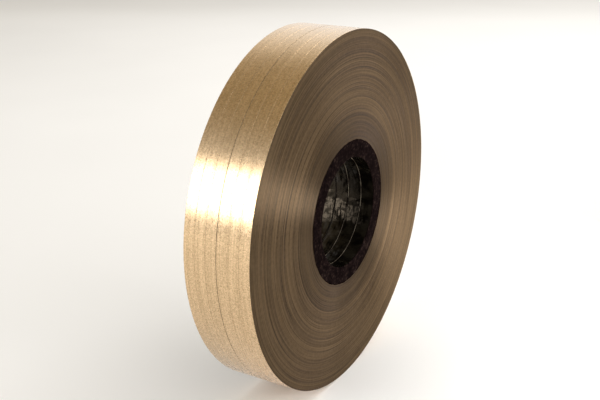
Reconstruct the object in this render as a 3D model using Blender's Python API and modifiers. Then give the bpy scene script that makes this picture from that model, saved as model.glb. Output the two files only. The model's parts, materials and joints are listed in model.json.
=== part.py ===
"""A bulk roll of copper foil tape: six slit strips wound side by side on a core of stacked rings.

Lengths are in metres and +Z is up. The origin is the roll's centre and its axis lies along Y, so the
roll stands on its rim. Strips and core rings are numbered from the -Y face. Angles on the rim are
measured about the roll's axis, from +X towards +Z.
"""

import math

import bpy

# The windings
OUTER_RADIUS = 0.1255
STRIP_COUNT = 6
STRIP_PITCH = 0.00794  # a 5/16 in strip, from one slit to the next

# The core
CORE_RADIUS = 0.0510
BORE_RADIUS = 0.0387
REAR_BORE_STEP = 0.0005  # the bore is wider by this much behind the third joint
STEPPED_FROM_RING = 4
CORE_RING_PITCH = 0.0103  # from one joint of the core to the next
JOINT_THICKNESS = 0.0004  # the pale paper ring between two core rings

# The free end of each strip: foil with its release liner under it
FREE_END_LENGTH = 0.045
FREE_END_ROOT_DEG = 50.0  # where the outermost turn starts to lift
FOIL_THICKNESS = 0.0004
LINER_THICKNESS = 0.0004

# Clearances and smoothness
GAP = 0.0003
RIM_FACETS = 96
CORE_FACETS = 72
SHORTEST_FACET_DEG = 0.1
MERGE_DISTANCE = 0.00001

# Sizes that follow from the ones above
STRIP_WIDTH = STRIP_PITCH - GAP
ROLL_WIDTH = STRIP_COUNT * STRIP_PITCH - GAP
FRONT_Y = -ROLL_WIDTH / 2
WINDING_INNER_RADIUS = CORE_RADIUS + GAP
FREE_END_SWEEP_DEG = math.degrees(FREE_END_LENGTH / OUTER_RADIUS)
LINER_OUTER_RADIUS = OUTER_RADIUS - FOIL_THICKNESS - GAP
RECESS_RADIUS = LINER_OUTER_RADIUS - LINER_THICKNESS - GAP
RECESS_MARGIN_DEG = math.degrees(GAP / OUTER_RADIUS)
JOINT_COUNT = math.ceil(ROLL_WIDTH / CORE_RING_PITCH) - 1


def clear_scene():
    """Remove every object that the file starts with."""
    for obj in list(bpy.data.objects):
        bpy.data.objects.remove(obj, do_unlink=True)


def make_collection(name):
    """A new collection in the scene."""
    collection = bpy.data.collections.new(name)
    bpy.context.scene.collection.children.link(collection)
    return collection


def make_material(name, colour, roughness, metallic):
    """A Principled material of one colour."""
    material = bpy.data.materials.new(name)
    material.use_nodes = True
    shader = material.node_tree.nodes["Principled BSDF"]
    shader.inputs["Base Color"].default_value = (*colour, 1.0)
    shader.inputs["Roughness"].default_value = roughness
    shader.inputs["Metallic"].default_value = metallic
    material.diffuse_color = (*colour, 1.0)
    return material


def polar(radius, angle_deg):
    """The (x, z) point at this radius and angle about the roll's axis."""
    angle = math.radians(angle_deg)
    return radius * math.cos(angle), radius * math.sin(angle)


def circle_points(radius, facets):
    """A whole circle whose facets, and not its corners, face along X and Z."""
    return [polar(radius, (step + 0.5) * 360 / facets) for step in range(facets)]


def arc_points(radius, start_deg, end_deg):
    """An arc cut into facets no longer than the rim's own."""
    steps = math.ceil(abs(end_deg - start_deg) * RIM_FACETS / 360)
    return [polar(radius, start_deg + (end_deg - start_deg) * step / steps) for step in range(steps + 1)]


def extruded(name, outlines, thickness, origin_xz, middle_y, material, collection):
    """Closed outlines in the XZ plane, made solid along Y about middle_y, with the origin at origin_xz."""
    curve = bpy.data.curves.new(name, "CURVE")
    curve.dimensions = "2D"
    curve.fill_mode = "BOTH"
    curve.extrude = thickness / 2
    for outline in outlines:
        spline = curve.splines.new("POLY")
        spline.points.add(len(outline) - 1)
        spline.use_cyclic_u = True
        for point, (x, z) in zip(spline.points, outline):
            point.co = (x - origin_xz[0], z - origin_xz[1], 0.0, 1.0)
    curve.materials.append(material)
    obj = bpy.data.objects.new(name, curve)
    obj.location = (origin_xz[0], middle_y, origin_xz[1])
    obj.rotation_euler = (math.radians(90), 0.0, 0.0)
    collection.objects.link(obj)
    return obj


def turned_ring(name, bore_radius, outer_radius, start_y, end_y, material, collection):
    """A plain ring about the roll's axis, turned from its four-cornered section."""
    half = (end_y - start_y) / 2
    section = [(outer_radius, half), (outer_radius, -half), (bore_radius, -half), (bore_radius, half)]
    mesh = bpy.data.meshes.new(name)
    corners = [(radius, 0.0, height) for radius, height in section]
    sides = [(corner, (corner + 1) % len(section)) for corner in range(len(section))]
    mesh.from_pydata(corners, sides, [])
    mesh.materials.append(material)
    obj = bpy.data.objects.new(name, mesh)
    obj.location = (0.0, (start_y + end_y) / 2, 0.0)
    obj.rotation_euler = (math.radians(-90), 0.0, 0.0)
    collection.objects.link(obj)
    screw = obj.modifiers.new("Turn", "SCREW")
    screw.axis = "Z"
    screw.angle = math.radians(360)
    screw.steps = CORE_FACETS
    screw.render_steps = CORE_FACETS
    screw.use_merge_vertices = True
    screw.merge_threshold = MERGE_DISTANCE
    screw.use_smooth_shade = True
    return obj


def strip_middle_y(number):
    """Where the middle of a strip lies along the axis."""
    return FRONT_Y + (number - 1) * STRIP_PITCH + STRIP_WIDTH / 2


def free_end_tip_deg():
    """The angle of the cut end of every strip."""
    return FREE_END_ROOT_DEG - FREE_END_SWEEP_DEG


def winding_rim():
    """The outline of a winding's rim, round from the recess's upper end to its lower end."""
    high = FREE_END_ROOT_DEG + RECESS_MARGIN_DEG
    low = free_end_tip_deg() - RECESS_MARGIN_DEG
    facet_deg = 360 / RIM_FACETS
    corners = [(step + 0.5) * facet_deg for step in range(2 * RIM_FACETS)]
    rim = [angle for angle in corners if high + SHORTEST_FACET_DEG < angle < low + 360 - SHORTEST_FACET_DEG]
    return [polar(OUTER_RADIUS, angle) for angle in (high, *rim, low)] + arc_points(RECESS_RADIUS, low, high)


def make_winding(number, material, collection):
    """One strip's wound turns: a thick disc with a shallow recess where its free end lies."""
    hole = circle_points(WINDING_INNER_RADIUS, CORE_FACETS)
    name = f"tape_winding_{number}"
    outlines = [winding_rim(), hole]
    return extruded(name, outlines, STRIP_WIDTH, (0.0, 0.0), strip_middle_y(number), material, collection)


def make_free_end(name, number, outer_radius, thickness, material, collection):
    """A strip's loose end, foil or liner, with its origin on the line that it lifts about."""
    root, tip = FREE_END_ROOT_DEG, free_end_tip_deg()
    outline = arc_points(outer_radius, root, tip) + arc_points(outer_radius - thickness, tip, root)
    lift_line = polar(OUTER_RADIUS, root)
    return extruded(name, [outline], STRIP_WIDTH, lift_line, strip_middle_y(number), material, collection)


def joint_middle_y(number):
    """Where a pale joint ring lies along the axis. Joint 0 and the last one are the core's two ends."""
    if number > JOINT_COUNT:
        return -FRONT_Y
    return FRONT_Y + number * CORE_RING_PITCH


def bore_radius_of(number):
    """The bore radius of a core ring, which is wider from the stepped ring on."""
    return BORE_RADIUS + (REAR_BORE_STEP if number >= STEPPED_FROM_RING else 0.0)


def make_core_ring(number, material, collection):
    """One dark ring of the core, between two joints or between a joint and the end of the roll."""
    half_joint = JOINT_THICKNESS / 2 + GAP
    start = joint_middle_y(number - 1) + (half_joint if number > 1 else 0.0)
    end = joint_middle_y(number) - (half_joint if number <= JOINT_COUNT else 0.0)
    name = f"core_ring_{number}"
    return turned_ring(name, bore_radius_of(number), CORE_RADIUS, start, end, material, collection)


def make_core_joint(number, material, collection):
    """The thin pale paper ring between a core ring and the next."""
    middle = joint_middle_y(number)
    half = JOINT_THICKNESS / 2
    bore_radius = bore_radius_of(number + 1)
    name = f"core_joint_{number}"
    return turned_ring(name, bore_radius, CORE_RADIUS, middle - half, middle + half, material, collection)


def main():
    clear_scene()
    collection = make_collection("Copper foil tape roll")
    for number in range(1, STRIP_COUNT + 1):
        wound = make_material(f"Wound foil {number}", (0.62, 0.45, 0.28), 0.34, 0.9)
        liner = make_material(f"Release liner {number}", (0.80, 0.74, 0.62), 0.7, 0.0)
        foil = make_material(f"Foil end {number}", (0.70, 0.52, 0.33), 0.3, 0.9)
        make_winding(number, wound, collection)
        make_free_end(f"liner_end_{number}", number, LINER_OUTER_RADIUS, LINER_THICKNESS, liner, collection)
        make_free_end(f"foil_end_{number}", number, OUTER_RADIUS, FOIL_THICKNESS, foil, collection)
    for number in range(1, JOINT_COUNT + 2):
        board = make_material(f"Core board {number}", (0.020, 0.014, 0.016), 0.42, 0.0)
        make_core_ring(number, board, collection)
    for number in range(1, JOINT_COUNT + 1):
        paper = make_material(f"Joint paper {number}", (0.62, 0.56, 0.42), 0.7, 0.0)
        make_core_joint(number, paper, collection)


main()
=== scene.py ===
"""The looks of the copper foil tape roll: fine turned meshes and procedural materials on the CAD frame.

The roll's axis is along Y and its visible side faces -Y. Angles on the roll are in degrees about its
axis, from +X towards +Z. Lengths are in metres.
"""

import json
import math

import bpy
import numpy as np
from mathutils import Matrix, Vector


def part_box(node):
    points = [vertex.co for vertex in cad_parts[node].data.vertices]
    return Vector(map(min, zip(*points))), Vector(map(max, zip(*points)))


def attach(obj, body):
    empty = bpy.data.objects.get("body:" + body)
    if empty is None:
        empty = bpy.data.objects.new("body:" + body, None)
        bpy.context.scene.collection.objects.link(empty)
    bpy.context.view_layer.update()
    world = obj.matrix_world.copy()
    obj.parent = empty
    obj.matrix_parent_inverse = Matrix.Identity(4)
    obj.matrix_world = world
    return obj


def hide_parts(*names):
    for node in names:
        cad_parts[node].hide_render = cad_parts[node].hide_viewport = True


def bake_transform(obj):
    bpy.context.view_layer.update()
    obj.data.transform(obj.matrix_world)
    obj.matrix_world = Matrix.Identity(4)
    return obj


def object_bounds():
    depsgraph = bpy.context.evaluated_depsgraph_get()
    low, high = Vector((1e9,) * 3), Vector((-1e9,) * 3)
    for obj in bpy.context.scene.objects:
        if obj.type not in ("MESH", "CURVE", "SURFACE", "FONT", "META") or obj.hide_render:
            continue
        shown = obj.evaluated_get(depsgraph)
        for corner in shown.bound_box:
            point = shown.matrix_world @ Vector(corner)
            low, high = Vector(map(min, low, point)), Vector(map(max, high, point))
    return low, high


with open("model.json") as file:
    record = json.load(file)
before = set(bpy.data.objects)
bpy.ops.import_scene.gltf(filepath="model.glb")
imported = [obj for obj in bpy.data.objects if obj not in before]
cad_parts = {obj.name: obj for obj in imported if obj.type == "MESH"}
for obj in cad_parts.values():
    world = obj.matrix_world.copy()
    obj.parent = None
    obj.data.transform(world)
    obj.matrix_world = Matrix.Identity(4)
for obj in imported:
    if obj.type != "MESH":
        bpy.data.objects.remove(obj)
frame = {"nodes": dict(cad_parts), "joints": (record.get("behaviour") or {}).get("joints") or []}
CAD_LOW, CAD_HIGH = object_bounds()

# Taken from the frame
STRIPS = sum(node.startswith("tape_winding_") for node in frame["nodes"])
RINGS = sum(node.startswith("core_ring_") for node in frame["nodes"])
ROLL_RADIUS = CAD_HIGH.z
FRONT_Y = CAD_LOW.y
LIFT_POINT = Vector(next(j["pos_m"] for j in frame["joints"] if j["name"] == "lift_end_1"))
ROOT_DEG = math.degrees(math.atan2(LIFT_POINT.z, LIFT_POINT.x))

# How finely things are cut
TURN_STEPS = 360  # round a winding
RIM_POINTS = 6  # across the flat of a strip's rim
FACE_STEP = 0.00045  # from one turned line of a side face to the next
END_STEPS = 72  # along a free end
END_WIDTHS = 8  # across a free end
CORE_STEPS = 240  # round the core
BORE_STEP = 0.0006  # from one turned line of the bore to the next
LEAST_BORE_LINES = 8
CORE_END_LINES = 12  # from the bore to the tape, on the end of a core ring
SHARP_DEG = 40.0  # an edge that turns more than this stays sharp

# The tape
LAYER = 0.00020  # foil and liner together
FOIL_THICKNESS = 0.00009
LINER_THICKNESS = 0.00008
SHEET_GAP = 0.00001  # between a free end's foil and its liner
RIM_INSET = 0.00004  # the rim stays this far inside the CAD
RIM_WANDER = 0.000018
MOST_WANDER = 0.00003  # outwards
SLITS = (0.000080, 0.000080, 0.000340, 0.000110, 0.000080)  # gap behind each strip but the last
DEEP_SLIT = 0.000020  # the slits all but close a little way in, so no light comes through
SLIT_ROUNDS = (0.000090, 0.000090, 0.000050, 0.000090, 0.000090)  # rounding of the tape's edges there
ROUND_DEG = (90, 60, 30, 0)  # where the points of a rounded edge lie
FLAT_SUPPORT = 0.000240  # the rim is flat again this far in from a rounded edge
FACE_ROUND = 0.000070  # rounding where the rim meets a side face
FACE_WAVES = ((0.0120, 0.00005), (0.0026, 0.00003), (0.0009, 0.00004))  # (spacing, depth) of its relief
FACE_FADE = 40  # the relief is full from one part in this many below the rim
HIDDEN_SHARES = (0.02, 0.98)  # places of the two lines of a side that faces another strip
STEP_SLIVER_DEG = 0.02  # the rim's step from the first turn to the second is this wide
END_INSET = 0.00003  # a free end is this much narrower at each edge
END_CLEARANCE_DEG = (0.01, 0.02)  # left free at a free end's root and tip

# The core
CORE_EDGE_WANDER = 0.00016  # of the torn edge where the board meets the tape
CORE_CLEARANCE = 0.00006  # between the board and the tape
CORE_END_INSET = 0.00008  # the core's two end faces sit this far in
RING_OVERLAP = 0.00040  # a ring reaches this far past its CAD shape, to meet its neighbour
RING_EDGE = 0.0006  # width of the worn edge at a ring's bore
RING_EDGE_SHARE = 0.3  # where the middle of that edge lies
BORE_INSET = 0.00006
BORE_WOBBLE = 0.00012
WRINKLE_DEPTH = 0.00003
WRINKLE_RATE = 2600  # radians for each metre along the bore
WRINKLE_SWAY = 3  # radians that the wrinkles sway by
SWAYS_ROUND = 7  # round the core
LINE_HALF_WIDTH = 0.00007  # of a joint line
LINE_UNEVENNESS = 0.35  # share by which that width wanders
LINE_DRIFT = 0.00010
LINE_PROUD = 0.00010
LINE_PROUD_WANDER = 0.00005
LINE_DEPTH = 0.0012
PALE_JOINTS = 2  # the joints nearest the front are pale, and those behind are darker

# Seeds of the random draws. A strip's, ring's or joint's own number is added to most of them.
RIM_SEED = 11
CORE_EDGE_SEED = 14
FRONT_SEED = 31
BACK_SEED = 51
BORE_SEED = 71
LINE_WIDTH_SEED = 91
LINE_DRIFT_SEED = 101
LINE_PROUD_SEED = 111

# Colours
FOIL_BRIGHT = (0.88, 0.63, 0.378)
FOIL_DARK = (0.53, 0.37, 0.20)
FOIL_SHIFT = 0.31  # from one strip's place in the foil's noise to the next strip's
SIDE_COLOURS = [(0.38, (0.019, 0.011, 0.006)), (0.46, (0.057, 0.036, 0.018)), (0.60, (0.128, 0.085, 0.046))]
# Brightness of the side face at each share of the way from the core to the rim
SIDE_SHADES = [
    (0.00, 0.50), (0.05, 0.62), (0.20, 0.70), (0.245, 0.62), (0.262, 0.98), (0.60, 1.0), (0.722, 1.0),
    (0.738, 0.86), (0.755, 1.0), (0.88, 0.98), (0.915, 0.87), (0.94, 0.98), (1.00, 0.90),
]
SIDE_GLOSS_TINT = (0.62, 0.47, 0.33, 1.0)
CORE_END_COLOURS = [
    (0.40, (0.0020, 0.0010, 0.0010)), (0.54, (0.0075, 0.0042, 0.0040)), (0.64, (0.026, 0.017, 0.014)),
]
BORE_COLOURS = [(0.40, (0.002, 0.0015, 0.001)), (0.65, (0.011, 0.009, 0.006))]
BORE_GLOSS_TINT = (0.90, 0.72, 0.52, 1.0)
JOINT_DARK, JOINT_PALE = (0.05, 0.038, 0.026), (0.36, 0.31, 0.23)
# Colours of the joints behind the front ones: the same paper, darker all over
BACK_JOINT_DARK, BACK_JOINT_PALE = (0.008, 0.006, 0.004), (0.05, 0.04, 0.028)
LINER_COLOURS = [(0.35, (0.66, 0.58, 0.44)), (0.65, (0.80, 0.74, 0.62))]
FLOOR_COLOURS = [(0.3, (0.90, 0.90, 0.90)), (0.7, (0.93, 0.93, 0.93))]
WALLS = (0.84, 0.84, 0.84)
CEILING = (0.415, 0.340, 0.212)

# The stage
FLOOR_RINGS = (0.3, 1.0, 3.0, 9.0)  # radii of its rings of points
FLOOR_SIDES = 24
WALL_STRENGTHS = (0.72, 1.06)  # on the left and on the right


def rim_angle_of_tip():
    """Where the strips are cut, read from the lowest corner of a free end."""
    low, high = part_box("foil_end_1")
    return math.degrees(math.atan2(low.z, high.x))


def radii_of(node):
    """(inner, outer) radius of a CAD ring about the roll's axis."""
    reach = [math.hypot(v.co.x, v.co.z) for v in frame["nodes"][node].data.vertices]
    return min(reach), max(reach)


TIP_DEG = rim_angle_of_tip()
SWEEP_DEG = ROOT_DEG - TIP_DEG
CORE_OUTER = radii_of("core_ring_1")[1]
WINDING_INNER = radii_of("tape_winding_1")[0]
CORE_MEETS_TAPE = (CORE_OUTER + WINDING_INNER) / 2


# ---------------------------------------------------------------------------
# Shapes
# ---------------------------------------------------------------------------


def smooth_noise(positions, spacing, seed):
    """Random values of about -1 to 1 that change smoothly over positions, about once in each spacing."""
    rng = np.random.default_rng(seed)
    scaled = np.asarray(positions, float) / spacing
    first = math.floor(scaled.min()) - 1
    knots = rng.uniform(-1.0, 1.0, math.ceil(scaled.max()) - first + 3)
    cell = np.floor(scaled).astype(int) - first
    share = scaled - np.floor(scaled)
    share = share * share * (3 - 2 * share)
    return knots[cell] * (1 - share) + knots[cell + 1] * share


def round_noise(degrees, waves, seed):
    """Random values of about -1 to 1 round a circle, which meet where the circle closes."""
    rng = np.random.default_rng(seed)
    total = np.zeros(np.shape(degrees))
    for wave in range(1, waves + 1):
        size, turn = rng.uniform(0.4, 1.0), rng.uniform(0, 2 * math.pi)
        total = total + size * np.sin(np.radians(degrees) * wave + turn)
    return total / math.sqrt(waves)


def core_edge(degrees):
    """Radius where the core board gives way to tape: the torn edge of the board wanders a little."""
    return CORE_MEETS_TAPE + CORE_EDGE_WANDER * round_noise(degrees, waves=60, seed=CORE_EDGE_SEED)


def spiral_radius(from_tip):
    """Radius of the outermost turn of tape, this many degrees on from the cut tips."""
    return ROLL_RADIUS - RIM_INSET - LAYER * from_tip / 360


def mesh_object(name, points, faces, materials, face_materials=None):
    """A smooth-shaded mesh object, with one material index for each face."""
    mesh = bpy.data.meshes.new(name)
    mesh.from_pydata([tuple(p) for p in points], [], faces)
    for material in materials:
        mesh.materials.append(material)
    if face_materials is not None:
        mesh.polygons.foreach_set("material_index", face_materials)
    mesh.shade_smooth()
    mesh.set_sharp_from_angle(angle=math.radians(SHARP_DEG))
    mesh.update()
    obj = bpy.data.objects.new(name, mesh)
    bpy.context.scene.collection.objects.link(obj)
    return obj


def turned_grid(degrees, radius, along):
    """Points of a closed turned shape: radius and along are arrays of (angles, section points)."""
    angle = np.radians(degrees)[:, None]
    return np.stack([radius * np.cos(angle), along, radius * np.sin(angle)], -1).reshape(-1, 3)


def turned_faces(turns, section):
    """Faces of a grid that closes both round the axis and round its section."""
    faces = []
    for turn in range(turns):
        this, after = turn * section, ((turn + 1) % turns) * section
        for point in range(section):
            beyond = (point + 1) % section
            faces.append((this + point, this + beyond, after + beyond, after + point))
    return faces


def section_kinds(turns, section, first_kind_faces):
    """Material indexes of a turned grid: 0 for the first faces of its section, and 1 for the others."""
    return np.tile([0 if point < first_kind_faces else 1 for point in range(section)], turns)


def strip_edges(number, slits=SLITS):
    """(front, back) of a strip's visible tape along Y: the strips meet but for a fine slit."""
    low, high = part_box(f"tape_winding_{number}")
    front, back = low.y, high.y
    if number > 1:
        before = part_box(f"tape_winding_{number - 1}")[1].y
        front = (before + low.y) / 2 + slits[number - 2] / 2
    if number < STRIPS:
        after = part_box(f"tape_winding_{number + 1}")[0].y
        back = (high.y + after) / 2 - slits[number - 1] / 2
    return front, back


def face_relief(radius, seed):
    """How far each turn of tape sits in from the flat side face: rows of turns wander a little."""
    relief = np.zeros(len(radius))
    for wave, (spacing, depth) in enumerate(FACE_WAVES):
        relief = relief + depth * (0.5 + 0.5 * smooth_noise(radius, spacing, seed + wave))
    return relief


def side_lines(in_view, seed):
    """(shares, relief) of the lines of a strip's side: how far from rim to core, and how far in."""
    if not in_view:
        return np.array(HIDDEN_SHARES), np.zeros(len(HIDDEN_SHARES))
    depth = ROLL_RADIUS - WINDING_INNER
    shares = np.linspace(0, 1, round(depth / FACE_STEP) + 2)[1:-1]
    relief = face_relief(ROLL_RADIUS - depth * shares, seed)
    return shares, relief * np.minimum(1.0, shares * FACE_FADE)


def rim_section(number):
    """(along, drop) of a strip's rim from its back edge to its front edge, with rounded edges."""
    front, back = strip_edges(number)
    front_round = SLIT_ROUNDS[number - 2] if number > 1 else FACE_ROUND
    back_round = SLIT_ROUNDS[number - 1] if number < STRIPS else FACE_ROUND
    corner = [(1 - math.sin(a), 1 - math.cos(a)) for a in np.radians(ROUND_DEG)]
    along = [back - back_round * inset for inset, _ in corner]
    drop = [back_round * down for _, down in corner]
    along += list(np.linspace(back - FLAT_SUPPORT, front + FLAT_SUPPORT, RIM_POINTS))
    drop += [0.0] * RIM_POINTS
    along += [front + front_round * inset for inset, _ in reversed(corner)]
    drop += [front_round * down for _, down in reversed(corner)]
    return np.array(along), np.array(drop)


def make_winding(number, rim_material, side_material):
    """One strip's wound turns. The rim is a spiral that ends in a step where the free end lifts."""
    degrees = ROOT_DEG + np.linspace(0, 360 - STEP_SLIVER_DEG, TURN_STEPS)
    wander = RIM_WANDER * round_noise(degrees, waves=9, seed=RIM_SEED + number)
    rim_radius = spiral_radius(degrees - TIP_DEG) + np.minimum(wander, MOST_WANDER)
    rim_along, drop = rim_section(number)

    front, back = strip_edges(number, [DEEP_SLIT] * len(SLITS))
    front_shares, front_relief = side_lines(number == 1, FRONT_SEED)
    back_shares, back_relief = side_lines(number == STRIPS, BACK_SEED)
    shares = np.concatenate([front_shares, [1.0, 1.0], back_shares[::-1]])
    side_along = np.concatenate([front + front_relief, [front, back], (back - back_relief)[::-1]])

    rim_column = rim_radius[:, None] - drop[None, :]
    side_column = rim_radius[:, None] + (core_edge(degrees) - rim_radius)[:, None] * shares[None, :]
    radius = np.concatenate([rim_column, side_column], 1)
    along = np.broadcast_to(np.concatenate([rim_along, side_along]), radius.shape)
    turns, section = radius.shape
    points = turned_grid(degrees, radius, along)
    faces = turned_faces(turns, section)
    kinds = section_kinds(turns, section, len(rim_along) - 1)
    winding = mesh_object(f"winding_{number}", points, faces, [rim_material, side_material], kinds)
    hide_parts(f"tape_winding_{number}")
    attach(winding, "roll")


def blade_faces(lengths, widths):
    """Faces of two sheets of points, one above the other, closed round their border."""
    row = widths + 1
    sheet = (lengths + 1) * row
    faces = []
    for i in range(lengths):
        for j in range(widths):
            a = i * row + j
            top = (a, a + row, a + row + 1, a + 1)
            faces.append(top)
            faces.append(tuple(sheet + corner for corner in reversed(top)))
    border = list(range(row))
    border += [i * row + widths for i in range(1, lengths + 1)]
    border += [lengths * row + j for j in range(widths - 1, -1, -1)]
    border += [i * row for i in range(lengths - 1, 0, -1)]
    for here, there in zip(border, border[1:] + border[:1]):
        faces.append((here, there, sheet + there, sheet + here))
    return faces


def make_free_end(number, kind, outer_offset, thickness, material):
    """The loose foil or liner of one strip: a thin curved blade that follows the rim's spiral."""
    front, back = strip_edges(number)
    root_clearance, tip_clearance = END_CLEARANCE_DEG
    from_tip = np.linspace(SWEEP_DEG - root_clearance, tip_clearance, END_STEPS + 1)
    across = np.linspace(front + END_INSET, back - END_INSET, END_WIDTHS + 1)
    angles = np.radians(TIP_DEG + from_tip)
    outer = spiral_radius(from_tip) - outer_offset
    points = []
    for radius in (outer, outer - thickness):
        for r, a in zip(radius, angles):
            points += [(r * math.cos(a), y, r * math.sin(a)) for y in across]
    piece = mesh_object(f"{kind}_end_sheet_{number}", points, blade_faces(END_STEPS, END_WIDTHS), [material])
    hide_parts(f"{kind}_end_{number}")
    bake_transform(piece)


def make_core_ring(number, bore_material, end_material):
    """One dark ring of the core. Its bore carries the fine wrinkles of a tight film."""
    node = f"core_ring_{number}"
    low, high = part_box(node)
    inner, _ = radii_of(node)
    front, back = low.y - RING_OVERLAP, high.y + RING_OVERLAP
    front_end, back_end = front, back
    if number == 1:
        front = low.y
        front_end = front + CORE_END_INSET
    if number == RINGS:
        back = high.y
        back_end = back - CORE_END_INSET

    degrees = np.arange(CORE_STEPS) * 360 / CORE_STEPS
    bore_lines = max(LEAST_BORE_LINES, round((back - front) / BORE_STEP))
    bore_along = np.linspace(back - RING_EDGE, front + RING_EDGE, bore_lines)
    wobble = BORE_WOBBLE * round_noise(degrees, waves=14, seed=BORE_SEED + number)[:, None]
    sway = WRINKLE_SWAY * np.sin(np.radians(degrees) * SWAYS_ROUND)[:, None]
    wrinkles = WRINKLE_DEPTH * np.sin(bore_along * WRINKLE_RATE + sway)
    bore = inner + BORE_INSET + wobble / 2 + wrinkles
    edge = inner + RING_EDGE * RING_EDGE_SHARE + wobble
    width = (core_edge(degrees) - CORE_CLEARANCE - inner - RING_EDGE)[:, None]
    end_face = inner + RING_EDGE + width * np.linspace(0, 1, CORE_END_LINES)

    radius = np.concatenate([bore, edge, end_face, end_face[:, ::-1], edge], 1)
    front_corner, back_corner = front + RING_EDGE * RING_EDGE_SHARE, back - RING_EDGE * RING_EDGE_SHARE
    ends = [front_end] * CORE_END_LINES + [back_end] * CORE_END_LINES
    along = np.concatenate([bore_along, [front_corner], ends, [back_corner]])
    turns, section = radius.shape
    points = turned_grid(degrees, radius, np.broadcast_to(along, radius.shape))
    faces = turned_faces(turns, section)
    kinds = section_kinds(turns, section, bore_lines - 1)
    ring = mesh_object(f"core_section_{number}", points, faces, [bore_material, end_material], kinds)
    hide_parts(node)
    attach(ring, "roll")


def make_core_joint(number, material):
    """The line between two core rings: a thin ring that stands slightly proud of the bore."""
    node = f"core_joint_{number}"
    low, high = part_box(node)
    inner, _ = radii_of(f"core_ring_{number}")
    degrees = np.arange(CORE_STEPS) * 360 / CORE_STEPS
    unevenness = LINE_UNEVENNESS * round_noise(degrees, waves=24, seed=LINE_WIDTH_SEED + number)
    half = LINE_HALF_WIDTH * (1 + unevenness)
    middle = (low.y + high.y) / 2
    crest = middle + LINE_DRIFT * round_noise(degrees, waves=11, seed=LINE_DRIFT_SEED + number)
    rise = LINE_PROUD_WANDER * round_noise(degrees, waves=20, seed=LINE_PROUD_SEED + number)
    proud = inner - LINE_PROUD + rise
    shoulder = proud + half * 0.5
    sunk = np.full(len(degrees), inner + LINE_DEPTH)
    radius = np.stack([shoulder, proud, shoulder, sunk, sunk], 1)
    along = np.stack([crest + half, crest, crest - half, middle - half, middle + half], 1)
    points = turned_grid(degrees, radius, along)
    line = mesh_object(f"core_joint_line_{number}", points, turned_faces(*radius.shape), [material])
    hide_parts(node)
    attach(line, "roll")


# ---------------------------------------------------------------------------
# Materials
# ---------------------------------------------------------------------------


class Shader:
    """A material's node tree, with short ways to add to it."""

    def __init__(self, name):
        self.material = bpy.data.materials.new(name)
        self.material.use_nodes = True
        self.tree = self.material.node_tree
        self.surface = self.tree.nodes["Principled BSDF"]
        self.object_point = self.add("ShaderNodeTexCoord").outputs["Object"]

    def add(self, kind, settings=None, **inputs):
        node = self.tree.nodes.new(kind)
        for key, value in (settings or {}).items():
            setattr(node, key, value)
        for key, value in inputs.items():
            self.put(node.inputs[key], value)
        return node

    def put(self, socket, value):
        if isinstance(value, bpy.types.NodeSocket):
            self.tree.links.new(value, socket)
        else:
            socket.default_value = value

    def give(self, name, value):
        """Sets an input of the surface to a value or to another node's output."""
        self.put(self.surface.inputs[name], value)

    def maths(self, operation, *values):
        node = self.add("ShaderNodeMath", {"operation": operation})
        for socket, value in zip(node.inputs, values):
            self.put(socket, value)
        return node.outputs[0]

    def point_sum(self, first, second):
        node = self.add("ShaderNodeVectorMath", {"operation": "ADD"})
        self.put(node.inputs[0], first)
        self.put(node.inputs[1], second)
        return node.outputs[0]

    def stretched(self, x, y, z):
        """The object's own point, scaled by these factors."""
        return self.add("ShaderNodeMapping", Vector=self.object_point, Scale=(x, y, z)).outputs[0]

    def radius(self):
        """Distance from the roll's axis, in metres."""
        flat = self.stretched(1, 0, 1)
        return self.add("ShaderNodeVectorMath", {"operation": "LENGTH"}, Vector=flat).outputs["Value"]

    def noise(self, vector, scale, detail, roughness):
        inputs = {"Vector": vector, "Scale": scale, "Detail": detail, "Roughness": roughness}
        return self.add("ShaderNodeTexNoise", **inputs).outputs["Fac"]

    def ramp(self, value, stops):
        """A colour ramp with (place, colour) stops."""
        node = self.add("ShaderNodeValToRGB", Fac=value)
        elements = node.color_ramp.elements
        while len(elements) < len(stops):
            elements.new(0.5)
        for element, (place, colour) in zip(elements, stops):
            element.position = place
            element.color = (*colour, 1.0)
        return node.outputs["Color"]

    def spread(self, value, low, high, from_low=0.3, from_high=0.7):
        """value moved from one range to another, and kept inside it."""
        node = self.add("ShaderNodeMapRange")
        for socket, amount in zip(node.inputs, (value, from_low, from_high, low, high)):
            self.put(socket, amount)
        return node.outputs["Result"]

    def bump(self, height, distance, strength, normal=None):
        node = self.add("ShaderNodeBump", Height=height, Distance=distance, Strength=strength)
        if normal is not None:
            self.put(node.inputs["Normal"], normal)
        return node.outputs["Normal"]

    def mix_of(self, *parts):
        """The sum of (value, share) pairs."""
        total = self.maths("MULTIPLY", *parts[0])
        for value, share in parts[1:]:
            total = self.maths("ADD", total, self.maths("MULTIPLY", value, share))
        return total

    def product(self, first, second):
        """One colour times another."""
        node = self.add("ShaderNodeMix", {"data_type": "RGBA", "blend_type": "MULTIPLY"})
        factor, first_colour, second_colour = node.inputs[0], node.inputs[6], node.inputs[7]
        self.put(factor, 1.0)
        self.put(first_colour, first)
        self.put(second_colour, second)
        return node.outputs[2]

    def turns(self, per_metre, fade):
        """Noise that changes with the distance from the axis, and fades slowly in and out round the roll."""
        across = self.add("ShaderNodeCombineXYZ", Y=self.maths("MULTIPLY", self.radius(), per_metre))
        place = self.point_sum(self.stretched(fade, 0.0, fade), across.outputs[0])
        return self.noise(place, scale=1.0, detail=2.0, roughness=0.6)

    def grain_round_axis(self, strength):
        """Stretches the gloss as grooves that run round the roll's axis do."""
        tangent = self.add("ShaderNodeTangent", {"direction_type": "RADIAL", "axis": "Y"})
        self.give("Tangent", tangent.outputs["Tangent"])
        self.give("Anisotropic", strength)
        self.give("Anisotropic Rotation", 0.25)


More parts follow.
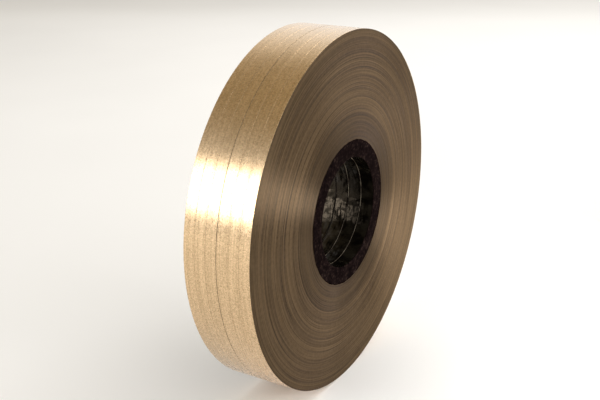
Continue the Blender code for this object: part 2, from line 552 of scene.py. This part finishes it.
def foil_material(number):
    """Satin foil: a fine mottle, faint streaks round the roll, and the soft ripple of thin tape."""
    shader = Shader(f"Satin foil {number}")
    shader.object_point = shader.point_sum(shader.object_point, (0.0, number * FOIL_SHIFT, 0.0))
    speckle = shader.noise(shader.stretched(1.0, 0.8, 1.0), scale=1150.0, detail=1.0, roughness=0.6)
    streak = shader.noise(shader.stretched(12.0, 850.0, 12.0), scale=1.0, detail=2.0, roughness=0.6)
    ripple = shader.noise(shader.object_point, scale=420.0, detail=3.0, roughness=0.6)
    cloud = shader.noise(shader.object_point, scale=45.0, detail=2.0, roughness=0.5)
    tone = shader.mix_of((speckle, 0.52), (streak, 0.34), (cloud, 0.06), (ripple, 0.08))
    shader.give("Base Color", shader.ramp(tone, [(0.37, FOIL_DARK), (0.63, FOIL_BRIGHT)]))
    shader.give("Roughness", shader.spread(ripple, 0.24, 0.32))
    shader.give("Metallic", 1.0)
    shader.give("Coat Weight", 0.6)
    shader.give("Coat Roughness", 0.30)
    shader.grain_round_axis(0.30)
    normal = shader.bump(ripple, distance=0.00004, strength=0.36)
    normal = shader.bump(speckle, distance=0.00001, strength=0.35, normal=normal)
    shader.give("Normal", shader.bump(streak, distance=0.00003, strength=0.50, normal=normal))
    return shader.material


def side_material():
    """The stacked edges of hundreds of turns: fine concentric lines in grey-brown bronze."""
    shader = Shader("Wound edges")
    fine = shader.turns(per_metre=1700.0, fade=14.0)
    lines = shader.turns(per_metre=900.0, fade=6.5)
    bands = shader.turns(per_metre=300.0, fade=5.0)
    patch = shader.noise(shader.object_point, scale=420.0, detail=3.0, roughness=0.6)
    tone = shader.mix_of((lines, 0.46), (fine, 0.36), (bands, 0.04), (patch, 0.14))
    place = shader.spread(shader.radius(), 0.0, 1.0, CORE_MEETS_TAPE, ROLL_RADIUS)
    shade = shader.ramp(place, [(at, (amount, amount, amount)) for at, amount in SIDE_SHADES])
    shader.give("Base Color", shader.product(shader.ramp(tone, SIDE_COLOURS), shade))
    shader.give("Roughness", shader.spread(lines, 0.38, 0.50))
    shader.give("Metallic", 0.5)
    shader.give("Specular IOR Level", 0.25)
    shader.give("Specular Tint", SIDE_GLOSS_TINT)
    shader.grain_round_axis(0.99)
    normal = shader.bump(fine, distance=0.00004, strength=0.6)
    normal = shader.bump(lines, distance=0.00008, strength=0.6, normal=normal)
    shader.give("Normal", shader.bump(patch, distance=0.00005, strength=0.3, normal=normal))
    return shader.material


def core_end_material():
    """The fibrous cut end of dark pressed board."""
    shader = Shader("Core board end")
    fibre = shader.noise(shader.object_point, scale=520.0, detail=5.0, roughness=0.7)
    blot = shader.noise(shader.object_point, scale=130.0, detail=3.0, roughness=0.6)
    tone = shader.mix_of((fibre, 0.65), (blot, 0.35))
    shader.give("Base Color", shader.ramp(tone, CORE_END_COLOURS))
    shader.give("Roughness", shader.spread(fibre, 0.6, 0.85))
    shader.give("Specular IOR Level", 0.02)
    shader.give("IOR", 1.12)
    shader.give("Normal", shader.bump(fibre, distance=0.0003, strength=0.5))
    return shader.material


def core_bore_material():
    """The bore of the core: a tight dark film, wrinkled, and glossier towards the back."""
    shader = Shader("Core board bore")
    crease = shader.noise(shader.stretched(1.0, 0.7, 1.0), scale=150.0, detail=3.0, roughness=0.55)
    pucker = shader.noise(shader.object_point, scale=60.0, detail=2.0, roughness=0.5)
    shader.give("Base Color", shader.ramp(crease, BORE_COLOURS))
    shader.give("Roughness", shader.spread(crease, 0.16, 0.34))
    along = shader.add("ShaderNodeSeparateXYZ", Vector=shader.object_point).outputs["Y"]
    shader.give("Specular IOR Level", shader.spread(along, 0.03, 0.36, FRONT_Y + 0.008, FRONT_Y + 0.030))
    shader.give("Specular Tint", BORE_GLOSS_TINT)
    normal = shader.bump(pucker, distance=0.0060, strength=0.7)
    shader.give("Normal", shader.bump(crease, distance=0.0014, strength=0.5, normal=normal))
    return shader.material


def joint_material(name, dark, pale):
    """Paper edge between two core rings, browned in places."""
    shader = Shader(name)
    stain = shader.noise(shader.object_point, scale=95.0, detail=3.0, roughness=0.6)
    shader.give("Base Color", shader.ramp(stain, [(0.40, dark), (0.60, pale)]))
    shader.give("Roughness", 0.6)
    shader.give("Specular IOR Level", 0.2)
    shader.give("Normal", shader.bump(stain, distance=0.0001, strength=0.4))
    return shader.material


def liner_material():
    """Coated kraft release paper."""
    shader = Shader("Release liner")
    fibre = shader.noise(shader.stretched(1.0, 2.5, 1.0), scale=700.0, detail=4.0, roughness=0.65)
    shader.give("Base Color", shader.ramp(fibre, LINER_COLOURS))
    shader.give("Roughness", shader.spread(fibre, 0.45, 0.62))
    shader.give("Normal", shader.bump(fibre, distance=0.00005, strength=0.4))
    return shader.material


def floor_material():
    """Matt, nearly white."""
    shader = Shader("Studio floor")
    cloud = shader.noise(shader.object_point, scale=3.0, detail=2.0, roughness=0.5)
    shader.give("Base Color", shader.ramp(cloud, FLOOR_COLOURS))
    shader.give("Roughness", 0.9)
    return shader.material


# ---------------------------------------------------------------------------
# Stage
# ---------------------------------------------------------------------------


def make_floor():
    """A plain pale floor that reaches past the camera's view."""
    angles = np.radians(np.arange(FLOOR_SIDES) * 360 / FLOOR_SIDES)
    points = [(0.0, 0.0, CAD_LOW.z)]
    for ring in FLOOR_RINGS:
        points += [(ring * math.cos(a), ring * math.sin(a), CAD_LOW.z) for a in angles]
    faces = []
    for side in range(FLOOR_SIDES):
        after = (side + 1) % FLOOR_SIDES
        faces.append((0, 1 + side, 1 + after))
        for ring in range(len(FLOOR_RINGS) - 1):
            inside = 1 + FLOOR_SIDES * ring
            outside = inside + FLOOR_SIDES
            faces.append((inside + side, outside + side, outside + after, inside + after))
    floor = mesh_object("studio_floor", points, faces, [floor_material()])


def make_light(name, place, size, radiance, aim=(0.0, 0.0, 0.0)):
    """A soft rectangular lamp of this brightness, which looks from one point to another."""
    lamp = bpy.data.lights.new(name, "AREA")
    lamp.shape = "RECTANGLE"
    lamp.size, lamp.size_y = size
    lamp.energy = math.pi * size[0] * size[1] * radiance
    obj = bpy.data.objects.new(name, lamp)
    obj.location = place
    obj.rotation_mode = "QUATERNION"
    obj.rotation_quaternion = (Vector(aim) - Vector(place)).to_track_quat("-Z", "Y")
    obj.visible_camera = False
    bpy.context.scene.collection.objects.link(obj)


def polar_direction(degrees, along):
    """A direction at this angle about the roll's axis, leaning along the axis."""
    angle = math.radians(degrees)
    return Vector((math.cos(angle), along, math.sin(angle))).normalized()


def make_lights():
    # The bright band across the rim, and the soft shine at the rim's top
    make_light("key", polar_direction(160, 0.52) * 1.7, (0.58, 0.68), 7.2)
    make_light("right_panel", polar_direction(31, 0.5) * 1.6, (1.6, 1.5), 0.20)
    # The even light on the side face, its two fans of shine, and its paler upper right
    make_light("front_top", (-0.48, -1.12, 1.04), (1.2, 1.2), 1.25)
    make_light("near_right", (0.134, -0.307, -0.056), (0.05, 0.05), 80.0)
    make_light("low_right", (0.40, -0.160, -0.060), (0.10, 0.10), 3.0, (0.08, 0.0, 0.06))
    # The floor behind the roll
    make_light("backdrop", (1.2, -0.3, 1.3), (1.6, 1.2), 2.9, (1.3, 0.1, 0.0))


def make_world():
    """A pale surround with a dimmer, warmer ceiling, and its own strength on the left and on the right."""
    world = bpy.data.worlds.new("Studio")
    world.use_nodes = True
    tree = world.node_tree
    point = tree.nodes.new("ShaderNodeTexCoord").outputs["Generated"]
    split = tree.nodes.new("ShaderNodeSeparateXYZ")
    tree.links.new(point, split.inputs[0])
    ramp = tree.nodes.new("ShaderNodeValToRGB")
    tree.links.new(split.outputs["Z"], ramp.inputs["Fac"])
    for element, place, colour in zip(ramp.color_ramp.elements, (0.50, 0.80), (WALLS, CEILING)):
        element.position = place
        element.color = (*colour, 1.0)
    across = tree.nodes.new("ShaderNodeMapRange")
    tree.links.new(split.outputs["X"], across.inputs["Value"])
    for socket, amount in zip(("From Min", "From Max", "To Min", "To Max"), (-0.8, 0.8, *WALL_STRENGTHS)):
        across.inputs[socket].default_value = amount
    background = tree.nodes["Background"]
    tree.links.new(ramp.outputs["Color"], background.inputs["Color"])
    tree.links.new(across.outputs["Result"], background.inputs["Strength"])
    bpy.context.scene.world = world


def make_camera():
    """The camera stands on the left of the roll and a little above, in front of its visible side face."""
    azimuth, elevation = math.radians(-61.02), math.radians(20.52)
    distance = 5.0935 * ROLL_RADIUS
    aim_across, aim_up = -0.1072 * ROLL_RADIUS, 0.0374 * ROLL_RADIUS
    level = math.cos(elevation)
    away = Vector((math.sin(azimuth) * level, -math.cos(azimuth) * level, math.sin(elevation)))
    place = away * distance
    aim = Vector((aim_across * math.cos(azimuth), aim_across * math.sin(azimuth), aim_up))
    data = bpy.data.cameras.new("Camera")
    data.sensor_width = 36.0
    data.lens = 54.54
    data.clip_start, data.clip_end = 0.01, 50.0
    camera = bpy.data.objects.new("Camera", data)
    camera.location = place
    camera.rotation_mode = "QUATERNION"
    camera.rotation_quaternion = (aim - place).to_track_quat("-Z", "Y")
    bpy.context.scene.collection.objects.link(camera)
    bpy.context.scene.camera = camera


def make_tape():
    side, liner = side_material(), liner_material()
    for number in range(1, STRIPS + 1):
        foil = foil_material(number)
        make_winding(number, foil, side)
        under_foil = FOIL_THICKNESS + SHEET_GAP
        make_free_end(number, "liner", under_foil, LINER_THICKNESS, liner)
        make_free_end(number, "foil", 0.0, FOIL_THICKNESS, foil)


def make_core():
    bore, end = core_bore_material(), core_end_material()
    for number in range(1, RINGS + 1):
        make_core_ring(number, bore, end)
    pale = joint_material("Joint paper", JOINT_DARK, JOINT_PALE)
    # The joints behind the front ones get the darker paper
    back_paper = joint_material("Back joint paper", BACK_JOINT_DARK, BACK_JOINT_PALE)
    for number in range(1, RINGS):
        make_core_joint(number, pale if number <= PALE_JOINTS else back_paper)


def main():
    make_camera()
    make_tape()
    make_core()
    make_floor()
    make_world()
    make_lights()
    bpy.context.scene.view_settings.view_transform = "Standard"


main()
